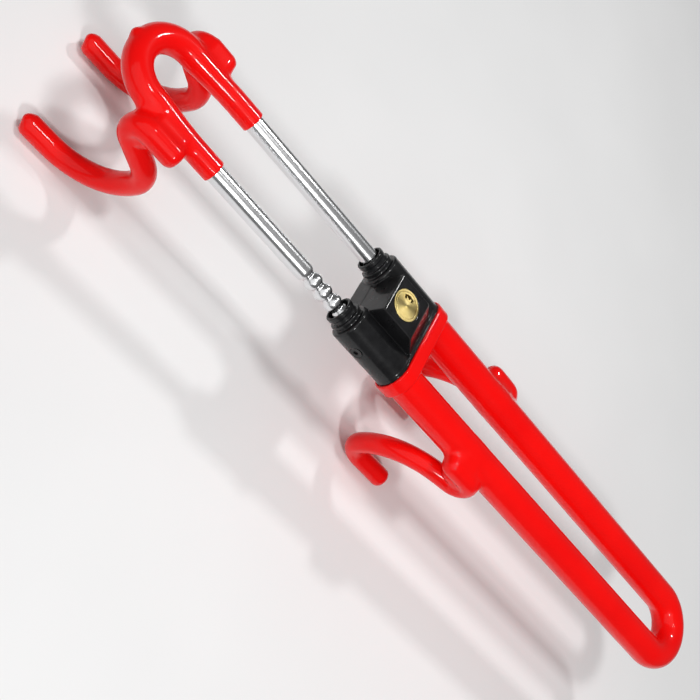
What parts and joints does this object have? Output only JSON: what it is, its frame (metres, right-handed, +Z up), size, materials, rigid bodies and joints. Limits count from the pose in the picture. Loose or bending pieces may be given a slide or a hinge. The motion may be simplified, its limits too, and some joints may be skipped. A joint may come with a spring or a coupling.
{
  "type": "steering wheel lock",
  "caption": "Steering wheel lock: hooked twin steel rods slide out of a vinyl-coated tubular handle and lock in a keyed housing.",
  "frame": {"origin": "bottom centre of the box that the stored lock fills: the lowest point of the hooks is z = 0", "axes": "+Y along the rods, from the handle's bend to the hooked bow; +Z up out of the key cylinder's face, away from the hooks; +X across the two rods"},
  "size_m": [0.093, 0.6096, 0.1099],
  "materials": {
    "red_vinyl": "glossy dipped vinyl",
    "black_paint": "satin black",
    "brass": "turned, brushed",
    "plated_steel": "bright nickel or chrome plate",
    "raw_steel": "as drawn",
    "spring_steel": "as coiled",
    "nylon": "moulded",
    "black_nylon": "moulded"
  },
  "bodies": {
    "handle": {"handle_tube": "raw_steel", "handle_coat": "red_vinyl", "collar_plate": "raw_steel", "collar_screws": "raw_steel", "lock_housing": "black_paint", "left_guide_bush": "black_nylon", "right_guide_bush": "black_nylon", "bore_plug": "black_paint", "cylinder_shell": "brass", "pawl_spring": "spring_steel", "left_lower_hook": "raw_steel", "right_lower_hook": "raw_steel", "left_lower_hook_coat": "red_vinyl", "right_lower_hook_coat": "red_vinyl"},
    "sliding_bow": {"rod_bow": "plated_steel", "bow_coat": "red_vinyl", "left_upper_hook": "raw_steel", "right_upper_hook": "raw_steel", "left_upper_hook_coat": "red_vinyl", "right_upper_hook_coat": "red_vinyl", "rod_stops": "raw_steel", "stop_pins": "raw_steel", "end_glides": "nylon"},
    "plug": {"key_plug": "brass", "disc_tumblers": "brass", "sidebar": "brass", "plug_circlip": "spring_steel", "cam": "raw_steel"},
    "locking_pin": {"pawl": "raw_steel"}
  },
  "joints": [
    {"name": "bar_slide", "type": "slide", "parent": "handle", "child": "sliding_bow", "axis": [0, 1, 0], "range_m": [-0.054, 0.117]},
    {"name": "plug_turn", "type": "hinge", "parent": "handle", "child": "plug", "pos_m": [0, 0.07627, 0.1015], "axis": [0, 0, 1], "range_deg": [0, 90]},
    {"name": "pawl_slide", "type": "slide", "parent": "handle", "child": "locking_pin", "axis": [-1, 0, 0], "range_m": [0, 0.0018], "deforming": ["pawl_spring"]}
  ],
  "couplings": [
    {"joint": "pawl_slide", "follows": "plug_turn", "m_per_rad": 0.0011459}
  ]
}
